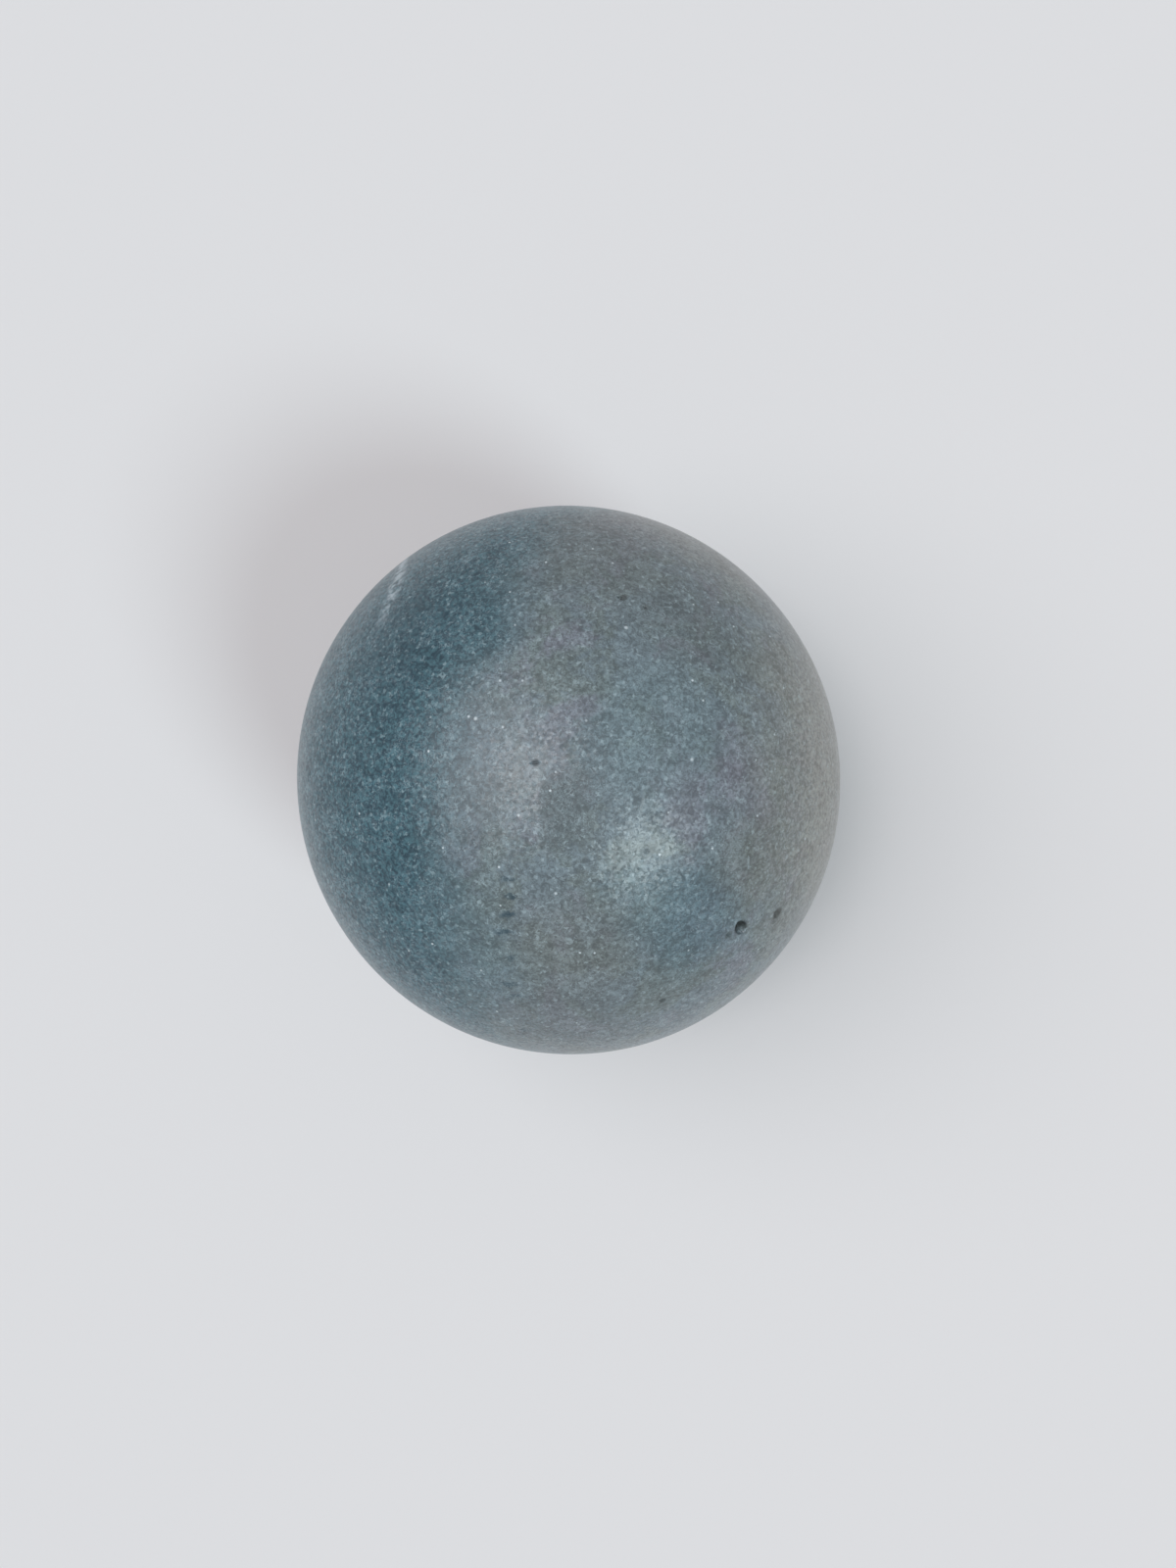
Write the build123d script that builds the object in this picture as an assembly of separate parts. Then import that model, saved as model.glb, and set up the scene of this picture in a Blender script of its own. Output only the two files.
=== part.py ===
from build123d import *
from build123d.topology import SkipClean
import math
import os

# A hand-ground ball of fine-grained trolleite rock, in millimetres.
# It is one solid. Grinding has left it slightly egg-shaped: a little longer along Y than across.
# A few small pits and chips stay open in the polished face, where grains were plucked out.
# The origin is the centre of the ball, with +Z through the middle of its show face.

long_diameter = 53.4
cross_diameter = 52.7

# Each pit is a rounded dent. Its place is a bearing (degrees round +Z from +X towards +Y) and a tilt
# (degrees down from +Z). Its mouth has a width and a length, and the length runs at a heading (degrees
# from straight down the ball's side, turning towards higher bearings).
pits = {
    "plucked_grain": dict(bearing=-59.5, tilt=46.8, width=1.1, length=1.8, heading=-25, depth=0.45),
    "plucked_crumb": dict(bearing=-63.0, tilt=45.5, width=0.36, length=0.66, heading=22, depth=0.14),
    "shallow_pit": dict(bearing=-51.7, tilt=54.7, width=0.7, length=1.2, heading=-21, depth=0.16),
    "edge_chip": dict(bearing=53.2, tilt=36.0, width=0.4, length=0.97, heading=111, depth=0.12),
    "hairline_chip": dict(bearing=45.4, tilt=35.9, width=0.26, length=1.1, heading=116, depth=0.1),
    "top_chip": dict(bearing=131.0, tilt=5.6, width=0.24, length=1.0, heading=38, depth=0.1),
}


def turn_egg(long_size, cross_size, sweep):
    """Half an ellipse turned through a sweep about its long axis, which lies along X.

    The axis points along -X: turned about +X, a face comes back from a STEP file as the rest of the egg.
    """
    semi_long = long_size / 2
    semi_cross = cross_size / 2
    outline = EllipticalCenterArc((0, 0), semi_long, semi_cross, start_angle=0, arc_size=180)
    axis_line = Line((-semi_long, 0), (semi_long, 0))
    return revolve(make_face([outline, axis_line]), Axis((0, 0, 0), (-1, 0, 0)), sweep)


def surface_plane(bearing, tilt, heading):
    """A plane touching the unpitted ball, square to its face, with its X axis along the heading."""
    round_z = math.radians(bearing)
    from_z = math.radians(tilt)
    level = Vector(math.cos(round_z), math.sin(round_z), 0)
    up = Vector(0, 0, 1)
    ray = level * math.sin(from_z) + up * math.cos(from_z)
    down_side = level * math.cos(from_z) - up * math.sin(from_z)
    semi_long = long_diameter / 2
    semi_cross = cross_diameter / 2
    reach = 1 / math.sqrt((ray.X / semi_cross) ** 2 + (ray.Y / semi_long) ** 2 + (ray.Z / semi_cross) ** 2)
    touch = ray * reach
    outward = Vector(touch.X / semi_cross**2, touch.Y / semi_long**2, touch.Z / semi_cross**2)
    return Plane(origin=touch, x_dir=down_side, z_dir=outward).rotated((0, 0, heading))


def make_blank():
    """The ball before any pit: three thirds of an egg, with the long axis along Y and one third facing +Z.

    The thirds stay three faces, because a STEP file doesn't give back a pitted ball of one closed face.
    """
    third = turn_egg(long_diameter, cross_diameter, 120)
    return Rot(0, 0, 90) * (Rot(30, 0, 0) * third + Rot(150, 0, 0) * third + Rot(270, 0, 0) * third)


def pit_cutter(bearing, tilt, width, length, depth, heading):
    """A small egg sunk into the ball's face, so that it cuts a dent of the given mouth and depth."""
    egg_cross = (width**2 / 4 + depth**2) / depth
    egg_long = egg_cross * length / width
    rise = egg_cross / 2 - depth
    return surface_plane(bearing, tilt, heading) * Pos(0, 0, rise) * turn_egg(egg_long, egg_cross, 360)


with SkipClean():
    stone_ball = make_blank()
    for pit in pits.values():
        stone_ball -= pit_cutter(**pit)
stone_ball.label = "stone_ball"

os.makedirs("parts", exist_ok=True)
export_step(stone_ball, "parts/stone_ball.step")
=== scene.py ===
import math
import bmesh
import bpy
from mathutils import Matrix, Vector, noise
from mathutils.bvhtree import BVHTree
from mathutils.kdtree import KDTree


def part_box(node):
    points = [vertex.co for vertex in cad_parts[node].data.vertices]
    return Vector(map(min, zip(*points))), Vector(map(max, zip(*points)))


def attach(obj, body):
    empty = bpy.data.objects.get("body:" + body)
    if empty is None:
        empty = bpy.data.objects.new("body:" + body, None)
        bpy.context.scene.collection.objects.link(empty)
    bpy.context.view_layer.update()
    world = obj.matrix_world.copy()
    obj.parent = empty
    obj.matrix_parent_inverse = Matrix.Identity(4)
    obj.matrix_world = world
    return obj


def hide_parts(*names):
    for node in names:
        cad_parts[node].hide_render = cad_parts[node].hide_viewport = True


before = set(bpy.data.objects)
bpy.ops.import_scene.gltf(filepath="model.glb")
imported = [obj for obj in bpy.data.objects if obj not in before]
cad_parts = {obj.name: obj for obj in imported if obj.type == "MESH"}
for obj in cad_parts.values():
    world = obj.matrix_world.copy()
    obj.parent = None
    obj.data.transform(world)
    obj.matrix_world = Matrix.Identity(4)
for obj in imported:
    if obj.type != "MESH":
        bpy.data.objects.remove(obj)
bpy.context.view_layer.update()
ballLow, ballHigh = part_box("stone_ball")
millimetre = 0.001
print("frame loaded, ball", [round(side / millimetre, 2) for side in ballHigh - ballLow], "mm")


def fromDisplay(red, green, blue):
    # a colour picked on a screen, 0 to 255, as the linear colour that the shader wants
    def linear(level):
        share = level / 255
        return share / 12.92 if share <= 0.04045 else ((share + 0.055) / 1.055) ** 2.4
    return (linear(red), linear(green), linear(blue), 1.0)


def towards(bearing, tilt):
    # bearing is degrees round +Z from +X towards +Y, tilt is degrees down from +Z
    roundZ, fromZ = math.radians(bearing), math.radians(tilt)
    level = math.sin(fromZ)
    return Vector((level * math.cos(roundZ), level * math.sin(roundZ), math.cos(fromZ)))


def onBall(bearing, tilt):
    # the point of the unpitted ball in that direction, in metres
    half = (ballHigh - ballLow) / 2
    ray = towards(bearing, tilt)
    return ray / Vector(ray[i] / half[i] for i in range(3)).length


cameraView = {
    "place": Vector((1.612, -0.968, 117.327)) * millimetre,  # from the ball's centre
    "roll": -19.27,  # degrees, as the ball's long axis leans in the frame
    "lens": 27.04,
    "sensor": 36,
}


def makeCamera(view):
    lens = bpy.data.cameras.new("viewCamera")
    lens.lens = view["lens"]
    lens.sensor_width = view["sensor"]
    lens.clip_start = millimetre
    camera = bpy.data.objects.new("viewCamera", lens)
    camera.location = view["place"]
    camera.rotation_euler = (0, 0, math.radians(view["roll"]))
    bpy.context.scene.collection.objects.link(camera)
    bpy.context.scene.camera = camera


makeCamera(cameraView)
print("camera placed")


class Wire:
    # one node output; sums written on it add Math nodes
    def __init__(self, sheet, socket):
        self.sheet = sheet
        self.socket = socket

    def sum(self, operation, first, second=0.0):
        return self.sheet.node("ShaderNodeMath", {"operation": operation}, {0: first, 1: second})

    def __add__(self, other):
        return self.sum("ADD", self, other)

    def __sub__(self, other):
        return self.sum("SUBTRACT", self, other)

    def __mul__(self, other):
        return self.sum("MULTIPLY", self, other)

    def __rsub__(self, other):
        return self.sum("SUBTRACT", other, self)

    def __abs__(self):
        return self.sum("ABSOLUTE", self)

    __radd__ = __add__
    __rmul__ = __mul__


class Sheet:
    # the node tree of a material or a world
    def __init__(self, owner):
        owner.use_nodes = True
        self.owner = owner
        self.tree = owner.node_tree
        self.tree.nodes.clear()

    def node(self, kind, settings={}, inputs={}, output=0):
        made = self.tree.nodes.new(kind)
        for name, value in settings.items():
            setattr(made, name, value)
        for key, value in inputs.items():
            if isinstance(value, Wire):
                self.tree.links.new(value.socket, made.inputs[key])
            else:
                made.inputs[key].default_value = value
        return Wire(self, made.outputs[output]) if len(made.outputs) else None

    def vector(self, operation, first, second=None, scale=None, output=0):
        inputs = {0: first}
        if second is not None:
            inputs[1] = second
        if scale is not None:
            inputs["Scale"] = scale
        return self.node("ShaderNodeVectorMath", {"operation": operation}, inputs, output)

    def distance(self, first, second):
        return self.vector("DISTANCE", first, second, output="Value")

    def along(self, place, direction):
        return self.vector("DOT_PRODUCT", place, direction, output="Value")

    def scaled(self, colour, factor):
        return self.vector("SCALE", colour, scale=factor)

    def shifted(self, place, offset):
        return self.vector("ADD", place, offset)

    def centred(self, noiseColour):
        # a noise colour lies round the middle grey; this moves it round zero
        return self.shifted(noiseColour, (-0.5, -0.5, -0.5))

    def mix(self, factor, first, second):
        # colours: input 6 is A, 7 is B, and output 2 the result
        return self.node("ShaderNodeMix", {"data_type": "RGBA"}, {0: factor, 6: first, 7: second}, 2)

    def step(self, value, start, end):
        # 0 at start, 1 at end, smooth between
        settings = {"interpolation_type": "SMOOTHSTEP"}
        inputs = {"Value": value, "From Min": start, "From Max": end}
        return self.node("ShaderNodeMapRange", settings, inputs)

    def noise(self, place, scale, detail=2.0, roughness=0.5, curl=0.0, output="Fac"):
        inputs = {"Vector": place, "Scale": scale, "Detail": detail}
        inputs.update({"Roughness": roughness, "Distortion": curl})
        return self.node("ShaderNodeTexNoise", {}, inputs, output)

    def finish(self, shader, output="ShaderNodeOutputMaterial"):
        self.node(output, {}, {"Surface": shader})
        return self.owner


stone = {
    "greyGround": fromDisplay(106, 121, 129),
    "oliveGround": fromDisplay(104, 117, 119),
    "lilacGround": fromDisplay(113, 120, 130),
    "bandEdge": fromDisplay(78, 104, 113),
    "bandDark": fromDisplay(16, 55, 70),
    "bandGrain": fromDisplay(66, 106, 118),
    "bandNormal": Vector((0.891, -0.481, 0.5)),  # across the teal band, before warping
    "bandEnd": 5.6,  # millimetres along the band's normal
    "bandFade": 7.4,
    "bandEdgeAmount": 0.8,
    "warp": 2.6,  # how far the patches' borders wander, in millimetres
    "fray": 1.1,  # how far the fine borders wander
    "darkGrain": 0.66,
    "lightGrain": 1.26,
    "cloudLeast": 0.6,  # the cloud pattern darkens and lightens the rock from here
    "cloudSpan": 0.8,
    "threadAmount": 0.42,
    "crumbAmount": 0.34,
    "dotAmount": 0.6,
    "paintedGlintAmount": 0.8,
    "threadColour": fromDisplay(160, 179, 187),
    "crumbColour": fromDisplay(177, 197, 205),
    "crumbSize": 0.26,
    # colour of the painted glints
    "glintColour": fromDisplay(200, 212, 218),
    "glintSpacing": 1.5,  # millimetres
    "glintSize": 0.13,
    "dotColour": fromDisplay(50, 58, 60),
    "wispShortSide": Vector((0.330, 0.944, 0.0)),
    "wispStretch": 1.6,
    "crystalSize": 0.24,
    "crystalTilt": 0.16,
    "ior": 1.53,
    "roughness": 0.3,
    "glintPolish": 0.1,
    "markRoughness": 0.5,
    "bumpStrength": 0.4,
    "bumpDepth": 0.02,  # millimetres
    # noise patterns: scale is per millimetre, and curl bends a pattern round itself
    "wanderNoise": dict(scale=0.2, detail=7.0, roughness=0.68),
    "frayNoise": dict(scale=1.6, detail=3.0, roughness=0.6),
    "oliveNoise": dict(scale=0.17, detail=6.0, roughness=0.66, curl=0.4),
    "lilacNoise": dict(scale=0.15, detail=6.0, roughness=0.66, curl=0.4),
    "mosaicNoise": dict(scale=2.7, detail=4.0, roughness=0.72, curl=0.7),
    "cloudNoise": dict(scale=0.55, detail=5.0, roughness=0.68),
    "threadNoise": dict(scale=1.5, detail=2.0, roughness=0.55, curl=2.4),
    "veinNoise": dict(scale=0.8, detail=4.0, roughness=0.65),
}

# what grew in the rock where, and a painted shade in the middle: place on the ball, reach in millimetres,
# colour and how much of it shows
stonePatches = {
    "darkCrown": dict(bearing=31, tilt=39, reach=6, colour=fromDisplay(92, 104, 106), amount=0.5),
    "greyCrown": dict(bearing=60, tilt=44, reach=7, colour=fromDisplay(102, 113, 116), amount=0.4),
    "paleSash": dict(bearing=9, tilt=18, reach=6, colour=fromDisplay(106, 127, 134), amount=0.5),
    "lilacFlank": dict(bearing=-18, tilt=33, reach=4, colour=fromDisplay(117, 120, 132), amount=0.5),
    "oliveFlank": dict(bearing=-44, tilt=40, reach=5, colour=fromDisplay(109, 116, 113), amount=0.5),
    "lowTeal": dict(bearing=-70, tilt=36, reach=6, colour=fromDisplay(80, 107, 118), amount=0.7),
    "lowTealTip": dict(bearing=-79, tilt=24, reach=4, colour=fromDisplay(92, 117, 125), amount=0.5),
    "oliveBase": dict(bearing=-106, tilt=32, reach=7, colour=fromDisplay(107, 113, 113), amount=0.5),
    "lowSlate": dict(bearing=-140, tilt=42, reach=7, colour=fromDisplay(87, 111, 120), amount=0.5),
    "beigeFlank": dict(bearing=-18, tilt=74, reach=17, colour=fromDisplay(149, 147, 140), amount=0.8),
    # painted shade: the middle is darker here to hold down the broad sheen of the wide lamp
    "shadedMiddle": dict(bearing=150, tilt=19, reach=8, colour=fromDisplay(92, 108, 118), amount=0.7),
    "lowShade": dict(bearing=-109, tilt=56, reach=8, colour=fromDisplay(90, 100, 103), amount=0.5),
    "topShade": dict(bearing=71, tilt=56, reach=8, colour=fromDisplay(93, 101, 103), amount=0.5),
    "beigeShoulder": dict(bearing=40, tilt=76, reach=11, colour=fromDisplay(128, 128, 124), amount=0.6),
}

# places where the teal band bulges out, or is deeper
tealPatches = {
    "shoulder": dict(bearing=108, tilt=37, reach=6, amount=0.8),
    "crown": dict(bearing=100, tilt=62, reach=7, amount=0.8),
}
deepestTeal = dict(bearing=119, tilt=44, reach=6, amount=0.35)

# painted shade in the pits, darker colour at the chips, and dark specks of the rock
pitShadeAndSpecks = {
    # painted shade in the main pit, its lower extension and the shallow pit
    "pluckedGrainShade": dict(bearing=-59.5, tilt=46.8, reach=0.66, colour=fromDisplay(26, 34, 34), amount=1.0),
    "pluckedCrumbShade": dict(bearing=-63.0, tilt=45.5, reach=0.4, colour=fromDisplay(70, 80, 80), amount=0.6),
    "shallowPitShade": dict(bearing=-51.7, tilt=54.7, reach=0.6, colour=fromDisplay(66, 66, 64), amount=0.7),
    "edgeChip": dict(bearing=53.2, tilt=36.0, reach=0.34, colour=fromDisplay(50, 52, 50), amount=0.6),
    "hairlineChip": dict(bearing=45.4, tilt=35.9, reach=0.34, colour=fromDisplay(54, 56, 54), amount=0.5),
    "topChip": dict(bearing=131.0, tilt=5.6, reach=0.3, colour=fromDisplay(60, 62, 64), amount=0.5),
    "speck": dict(bearing=-85.8, tilt=50.8, reach=0.32, colour=fromDisplay(46, 52, 54), amount=0.6),
    "speckInGloss": dict(bearing=-60.7, tilt=19.0, reach=0.26, colour=fromDisplay(70, 80, 84), amount=0.4),
}

# painted glints: pale glint colour painted where clear crystals catch the light
paintedGlints = {
    "nearBandOne": dict(bearing=127.6, tilt=20.0, reach=0.13),
    "nearBandTwo": dict(bearing=126.5, tilt=18.7, reach=0.17),
    "nearBandThree": dict(bearing=120.6, tilt=13.8, reach=0.12),
    "aboveBand": dict(bearing=103.9, tilt=20.6, reach=0.12),
    "upperMiddle": dict(bearing=93.8, tilt=18.6, reach=0.11),
    "crownGlint": dict(bearing=48.8, tilt=29.8, reach=0.17),
    "middleGlint": dict(bearing=-160.9, tilt=9.9, reach=0.13),
    "lowMiddle": dict(bearing=-113.7, tilt=20.0, reach=0.14),
    "rightGlint": dict(bearing=-10.5, tilt=22.7, reach=0.15),
    "farRight": dict(bearing=-33.2, tilt=53.5, reach=0.14),
}

# a row of short wisps, seen only between the light grains
darkWisps = {
    "first": dict(bearing=-139, tilt=20, reach=0.8, amount=0.6),
    "second": dict(bearing=-134, tilt=22.8, reach=0.7, amount=0.7),
    "third": dict(bearing=-132, tilt=26.4, reach=0.9, amount=0.8),
    "fourth": dict(bearing=-131, tilt=30, reach=0.9, amount=0.8),
    "fifth": dict(bearing=-126, tilt=35, reach=0.7, amount=0.6),
    "sixth": dict(bearing=-124.5, tilt=41.6, reach=0.9, amount=0.7),
    "seventh": dict(bearing=-122, tilt=44.5, reach=0.7, amount=0.6),
    "eighth": dict(bearing=-119, tilt=56.6, reach=0.9, amount=0.6),
}

# a thin broken vein that runs through three places
paleVein = {
    "places": ((107.6, 73.6), (115.7, 54.7), (127.3, 47.8)),  # bearing and tilt
    "halfWidth": 0.6,  # millimetres
    "reach": 8,
    "colour": fromDisplay(172, 188, 198),
    "amount": 0.85,
}

# a darker stretch with one sharp border near the top
darkStep = {
    "middle": (-87, 5),
    "reach": 4.4,
    "width": 6,
    "border": -1.9,  # millimetres from the ball's middle, across the view
    "across": Vector((0.944, -0.330, 0.0)),
    "colour": fromDisplay(82, 95, 100),
    "amount": 1.0,
    "extraRoughness": 0.2,
}


def makeStone(values, patches, tealMasks, deepest, marks, glintSpots, wisps, vein, sharp):
    sheet = Sheet(bpy.data.materials.new("trolleiteRock"))
    metres = sheet.node("ShaderNodeTexCoord", {}, {}, "Object")
    place = sheet.scaled(metres, 1 / millimetre)

    def patchMask(at, patch, inner=0.4):
        apart = sheet.distance(at, onBall(patch["bearing"], patch["tilt"]) / millimetre)
        return sheet.step(apart, patch["reach"] * 1.25, patch["reach"] * inner)

    # patches: their borders wander, coarse and fine
    wander = sheet.centred(sheet.noise(place, **values["wanderNoise"], output="Color"))
    warped = sheet.shifted(place, sheet.scaled(wander, 2 * values["warp"]))
    ragged = sheet.centred(sheet.noise(place, **values["frayNoise"], output="Color"))
    frayed = sheet.shifted(place, sheet.scaled(ragged, values["fray"]))

    slow = sheet.noise(place, **values["oliveNoise"])
    slower = sheet.noise(sheet.shifted(place, (31, 7, 53)), **values["lilacNoise"])
    colour = sheet.mix(sheet.step(slow, 0.46, 0.58), values["greyGround"], values["oliveGround"])
    colour = sheet.mix(sheet.step(slower, 0.5, 0.62), colour, values["lilacGround"])

    across = sheet.along(warped, values["bandNormal"])
    end, fade = values["bandEnd"], values["bandFade"]
    teal = sheet.step(across, end, end - fade)
    for patch in tealMasks.values():
        teal = teal.sum("MAXIMUM", teal, patchMask(warped, patch) * patch["amount"])
    nearBand = sheet.step(across, end + fade / 2, end - fade / 2)
    colour = sheet.mix(nearBand * values["bandEdgeAmount"], colour, values["bandEdge"])

    for patch in patches.values():
        colour = sheet.mix(patchMask(warped, patch) * patch["amount"] * (1 - teal), colour, patch["colour"])
    sideways = sheet.along(frayed, sharp["across"]) - sharp["border"]
    farSide = sheet.step(sideways, sharp["width"], sharp["width"] * 0.3)
    sharpSide = sheet.step(sideways, -0.15, 0.15) * farSide
    fromSharp = sheet.distance(warped, onBall(*sharp["middle"]) / millimetre)
    sharpReach = sheet.step(fromSharp, sharp["reach"] * 1.2, sharp["reach"] * 0.3)
    inSharp = sharpSide * sharpReach
    colour = sheet.mix(inSharp * sharp["amount"], colour, sharp["colour"])

    # grains: a crisp curled mosaic of light and dark
    mosaic = sheet.noise(place, **values["mosaicNoise"])
    light = sheet.step(mosaic, 0.39, 0.63)
    dark, bright = sheet.scaled(colour, values["darkGrain"]), sheet.scaled(colour, values["lightGrain"])
    colour = sheet.mix(light, dark, bright)
    bandGrains = sheet.step(mosaic, 0.42, 0.6)
    colour = sheet.mix(teal, colour, sheet.mix(bandGrains, values["bandDark"], values["bandGrain"]))
    colour = sheet.mix(patchMask(warped, deepest, 0.2) * deepest["amount"], colour, values["bandDark"])
    cloud = sheet.noise(sheet.shifted(place, (5, 61, 17)), **values["cloudNoise"])
    colour = sheet.scaled(colour, values["cloudLeast"] + values["cloudSpan"] * cloud)
    # wisps are flat strokes, so they are measured in a space stretched along their short side
    shortSide, stretch = values["wispShortSide"], values["wispStretch"]
    stretched = sheet.shifted(frayed, sheet.scaled(shortSide, sheet.along(frayed, shortSide) * stretch))
    inWisp = 0.0
    for wisp in wisps.values():
        centre = onBall(wisp["bearing"], wisp["tilt"]) / millimetre
        centre = centre + shortSide * (stretch * centre.dot(shortSide))
        fromWisp = sheet.distance(stretched, centre)
        inWisp = inWisp + sheet.step(fromWisp, wisp["reach"] * 1.2, wisp["reach"] * 0.4) * wisp["amount"]
    colour = sheet.mix(inWisp * (1 - 0.35 * light), colour, values["bandDark"])

    # threads: thin pale curls, thicker in some places
    curl = sheet.noise(sheet.shifted(place, (17, 3, 29)), **values["threadNoise"])
    thread = sheet.step(abs(curl - 0.5), 0.04, 0.0) * sheet.step(cloud, 0.42, 0.6)
    colour = sheet.mix(thread * values["threadAmount"], colour, values["threadColour"])
    crumbInputs = {"Vector": place, "Scale": 1 / values["crumbSize"], "Randomness": 1.0}
    crumbPick = sheet.along(sheet.node("ShaderNodeTexVoronoi", {}, crumbInputs, "Color"), (0.0, 1.0, 0.0))
    crumb = sheet.step(crumbPick, 0.8, 1.0) * sheet.step(mosaic, 0.42, 0.58)
    colour = sheet.mix(crumb * values["crumbAmount"], colour, values["crumbColour"])

    # the vein lies in a plane, and breaks up
    planePoints = [onBall(bearing, tilt) / millimetre for bearing, tilt in vein["places"]]
    veinNormal = (planePoints[1] - planePoints[0]).cross(planePoints[2] - planePoints[0]).normalized()
    fromVein = abs(sheet.along(frayed, veinNormal) - veinNormal.dot(planePoints[1]))
    veinGaps = sheet.noise(place, **values["veinNoise"])
    inVein = sheet.step(fromVein, vein["halfWidth"], 0.0) * sheet.step(veinGaps, 0.4, 0.55)
    veinMiddle = (planePoints[0] + planePoints[1]) / 2
    inVein = inVein * sheet.step(sheet.distance(place, veinMiddle), vein["reach"], vein["reach"] * 0.55)
    colour = sheet.mix(inVein * vein["amount"], colour, vein["colour"])

    inMark = 0.0
    for mark in marks.values():
        # painted shade in the pits; the chips and specks get their own darker colour
        shadeAndSpeck = patchMask(place, mark, 0.7) * mark["amount"]
        colour = sheet.mix(shadeAndSpeck, colour, mark["colour"])
        inMark = inMark + shadeAndSpeck
    # painted glints: the glint colour is painted on at each listed spot
    for glintSpot in glintSpots.values():
        glintSpotHere = patchMask(place, glintSpot) * values["paintedGlintAmount"]
        colour = sheet.mix(glintSpotHere, colour, values["glintColour"])

    # crystals: each cell faces its own way, and here and there one glints
    cellInputs = {"Vector": place, "Scale": 1 / values["crystalSize"], "Randomness": 1.0}
    cell = sheet.node("ShaderNodeTexVoronoi", {}, cellInputs, "Color")
    glintInputs = {"Vector": place, "Scale": 1 / values["glintSpacing"], "Randomness": 1.0}
    reach = values["glintSize"] / values["glintSpacing"]
    fromGlint = sheet.node("ShaderNodeTexVoronoi", {}, glintInputs, "Distance")
    glintPick = sheet.along(sheet.node("ShaderNodeTexVoronoi", {}, glintInputs, "Color"), (0.0, 1.0, 0.0))
    glint = sheet.step(fromGlint, reach, reach * 0.5) * sheet.step(glintPick, 0.35, 0.6)
    # painted glint: the glinting cells get the pale glint colour painted on, besides their lower roughness
    colour = sheet.mix(glint, colour, values["glintColour"])
    dot = sheet.step(fromGlint, reach, reach * 0.5) * sheet.step(glintPick, 0.3, 0.2)
    colour = sheet.mix(dot * values["dotAmount"], colour, values["dotColour"])

    rough = values["roughness"] - glint * values["glintPolish"]
    rough = rough + inSharp * sharp["extraRoughness"] + inMark * values["markRoughness"]
    bumpDepth = values["bumpDepth"] * millimetre
    bumpInputs = {"Strength": values["bumpStrength"], "Distance": bumpDepth, "Height": mosaic}
    bumped = sheet.node("ShaderNodeBump", {}, bumpInputs)
    tilted = sheet.scaled(sheet.centred(cell), values["crystalTilt"])
    normal = sheet.vector("NORMALIZE", sheet.shifted(bumped, tilted))
    polish = {"Base Color": colour, "Roughness": rough, "Normal": normal, "IOR": values["ior"]}
    return sheet.finish(sheet.node("ShaderNodeBsdfPrincipled", {}, polish))


ballShape = {
    "rounds": 7,  # icosphere steps before the pits are refined
    "waviness": 0.05 * millimetre,  # hand grinding, always inwards
    "waveLength": 14 * millimetre,
    "pitMargin": 1.0 * millimetre,  # how far round a dent the faces are refined
    "marginShrink": 0.8,  # for each further round
    "pitRounds": 4,
    "leastDent": 0.03 * millimetre,  # above the CAD mesh's own facets
    "pitRoughness": 0.09 * millimetre,
    "pitGrain": 0.22 * millimetre,
    "fullyRough": 0.3 * millimetre,  # a dent this deep has its full roughness
}


def ballRadius(direction):
    half = (ballHigh - ballLow) / 2
    return 1 / Vector(direction[i] / half[i] for i in range(3)).length


def makeBall(shape):
    # the dents are read off the CAD ball, so they stay where it has them
    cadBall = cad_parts["stone_ball"]
    dented = [v.co.copy() for v in cadBall.data.vertices
              if ballRadius(v.co.normalized()) - v.co.length > shape["leastDent"]]
    dents = KDTree(len(dented))
    for i, point in enumerate(dented):
        dents.insert(point, i)
    dents.balance()
    tree = BVHTree.FromObject(cadBall, bpy.context.evaluated_depsgraph_get())
    ball = bmesh.new()
    bmesh.ops.create_icosphere(ball, subdivisions=shape["rounds"], radius=1)
    for vertex in ball.verts:
        vertex.co = vertex.co.normalized() * ballRadius(vertex.co.normalized())
    near = shape["pitMargin"]
    for _ in range(shape["pitRounds"]):
        close = {e for v in ball.verts if dents.find(v.co)[2] < near for e in v.link_edges}
        bmesh.ops.subdivide_edges(ball, edges=list(close), cuts=1, use_grid_fill=True)
        bmesh.ops.triangulate(ball, faces=[f for f in ball.faces if len(f.verts) > 3])
        near *= shape["marginShrink"]
    for vertex in ball.verts:
        ray = vertex.co.normalized()
        full = ballRadius(ray)
        wave = noise.noise(ray * full / shape["waveLength"] + Vector((3, 5, 8)))
        length = full - shape["waviness"] * (0.5 + 0.5 * wave)
        hit = tree.ray_cast(Vector(), ray)[0]
        dent = full - hit.length if hit else 0
        if dent > shape["leastDent"]:
            crumbs = noise.fractal(ray * full / shape["pitGrain"], 1.0, 2.0, 3)
            length -= dent + shape["pitRoughness"] * crumbs * min(1, dent / shape["fullyRough"])
        vertex.co = ray * length
    bmesh.ops.recalc_face_normals(ball, faces=ball.faces[:])
    mesh = bpy.data.meshes.new("polishedBall")
    ball.to_mesh(mesh)
    ball.free()
    mesh.shade_smooth()
    piece = bpy.data.objects.new("polishedBall", mesh)
    bpy.context.scene.collection.objects.link(piece)
    marks = (pitShadeAndSpecks, paintedGlints, darkWisps, paleVein, darkStep)
    mesh.materials.append(makeStone(stone, stonePatches, tealPatches, deepestTeal, *marks))
    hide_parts("stone_ball")
    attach(piece, "root")
    print("ball made,", len(mesh.polygons), "faces")


makeBall(ballShape)


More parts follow.
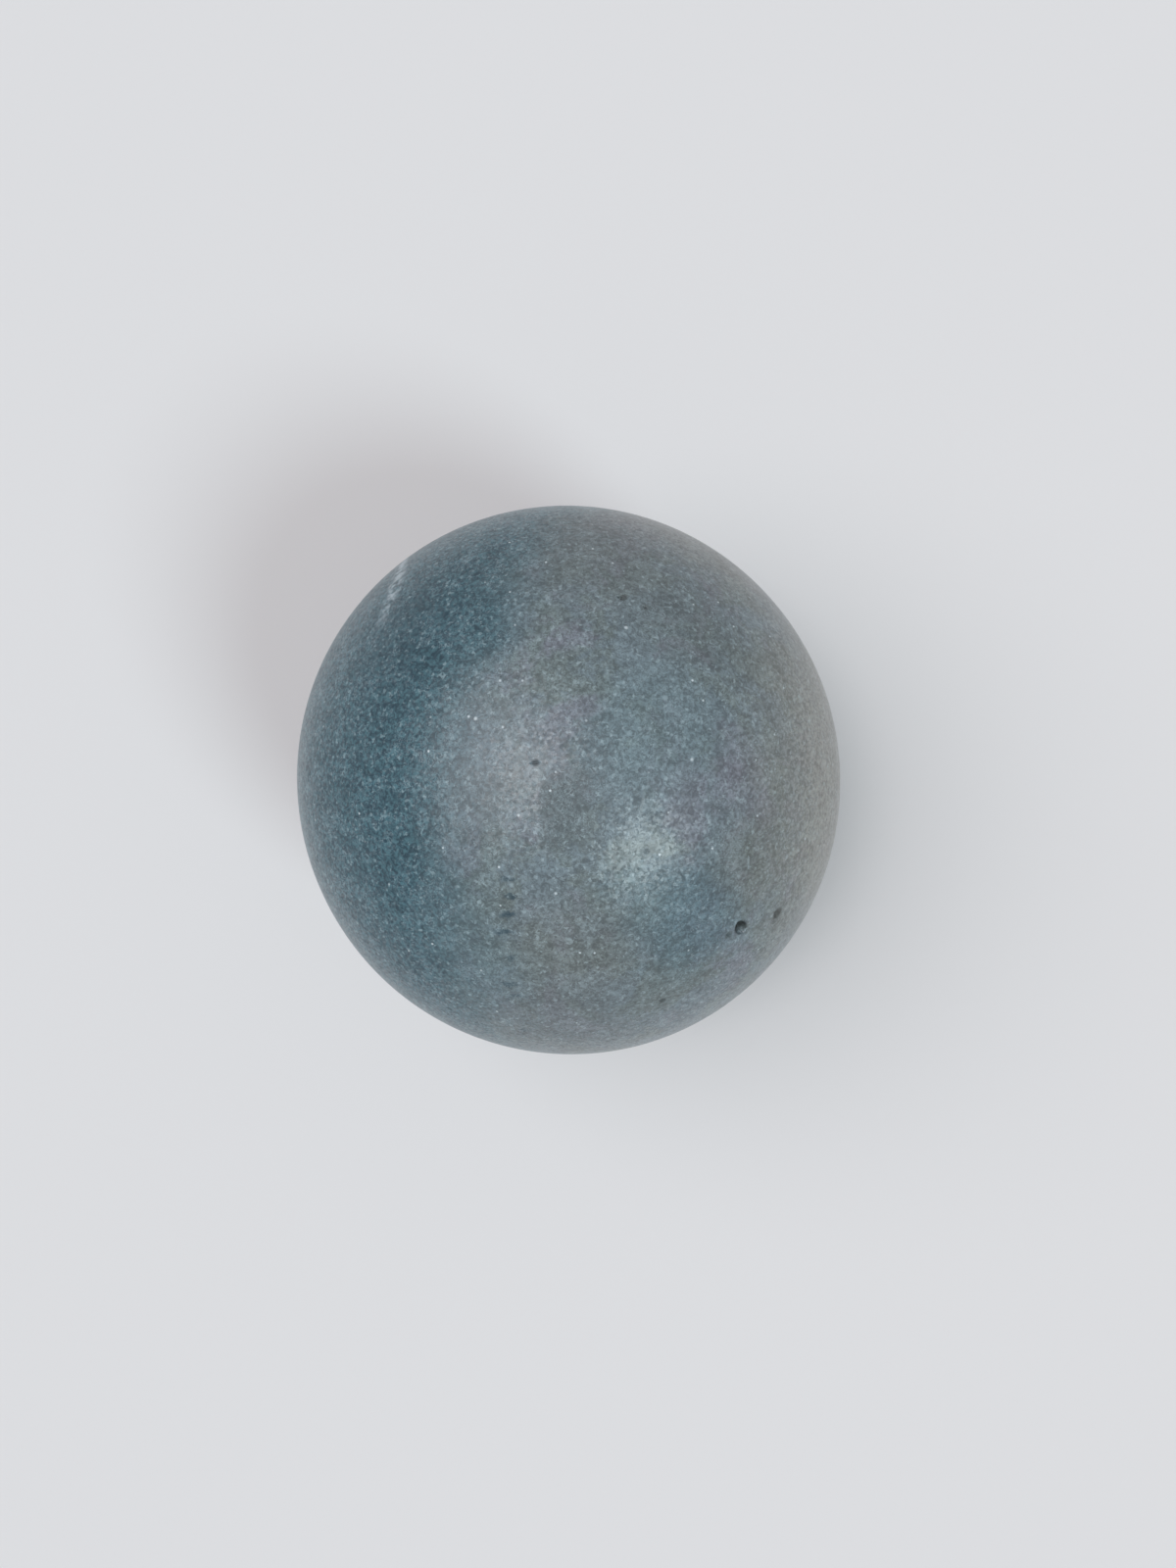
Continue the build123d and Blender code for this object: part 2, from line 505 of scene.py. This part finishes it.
studio = {
    "floorColour": fromDisplay(226, 225, 227),
    "floorRoughness": 0.9,
    "floorSize": 6.0,
    "skyStrength": 0.27,
    "skyColour": (0.985, 0.985, 1.0, 1.0),
    "paleBackground": fromDisplay(219, 219, 222),
}
lamps = {
    "warmLamp": dict(bearing=150, tilt=16, spread=17, share=0.14, colour=(1.0, 0.96, 0.96)),
    "wideLamp": dict(bearing=147, tilt=31, spread=60, share=0.4, colour=(1.0, 0.985, 0.99)),
    "coolLamp": dict(bearing=-62, tilt=40, spread=20, share=0.3, colour=(0.86, 1.0, 1.02)),
}


def makeFloor(values):
    mesh = bpy.data.meshes.new("paleFloor")
    floor = bmesh.new()
    bmesh.ops.create_grid(floor, x_segments=1, y_segments=1, size=values["floorSize"] / 2)
    floor.to_mesh(mesh)
    floor.free()
    piece = bpy.data.objects.new("paleFloor", mesh)
    piece.location.z = ballLow.z
    bpy.context.scene.collection.objects.link(piece)
    sheet = Sheet(bpy.data.materials.new("paleFloor"))
    paint = {"Base Color": values["floorColour"], "Roughness": values["floorRoughness"]}
    paint["Specular IOR Level"] = 0.0
    mesh.materials.append(sheet.finish(sheet.node("ShaderNodeBsdfPrincipled", {}, paint)))


def makeSky(values):
    # dim for diffuse light, and as pale as the floor where it is seen or mirrored
    bpy.context.scene.world = bpy.data.worlds.new("paleRoom")
    sheet = Sheet(bpy.context.scene.world)
    seen = sheet.node("ShaderNodeLightPath", {}, {}, "Is Camera Ray")
    mirrored = sheet.node("ShaderNodeLightPath", {}, {}, "Is Glossy Ray")
    dimInputs = {"Color": values["skyColour"], "Strength": values["skyStrength"]}
    dim = sheet.node("ShaderNodeBackground", {}, dimInputs)
    pale = sheet.node("ShaderNodeBackground", {}, {"Color": values["paleBackground"]})
    showing = seen.sum("MAXIMUM", seen, mirrored)
    both = sheet.node("ShaderNodeMixShader", {}, {0: showing, 1: dim, 2: pale})
    sheet.finish(both, "ShaderNodeOutputWorld")


def makeLamp(name, bearing, tilt, spread, share, colour):
    # share is the part of plain white that the lamp alone gives a surface facing it
    light = bpy.data.lights.new(name, "SUN")
    light.angle = math.radians(spread)
    light.color = colour
    light.energy = share * math.pi
    lamp = bpy.data.objects.new(name, light)
    lamp.location = towards(bearing, tilt)
    lamp.rotation_mode = "QUATERNION"
    lamp.rotation_quaternion = lamp.location.to_track_quat("Z", "Y")
    bpy.context.scene.collection.objects.link(lamp)


makeFloor(studio)
makeSky(studio)
for lampName, lampValues in lamps.items():
    makeLamp(lampName, **lampValues)
bpy.context.scene.view_settings.view_transform = "Standard"
print("floor and light made")
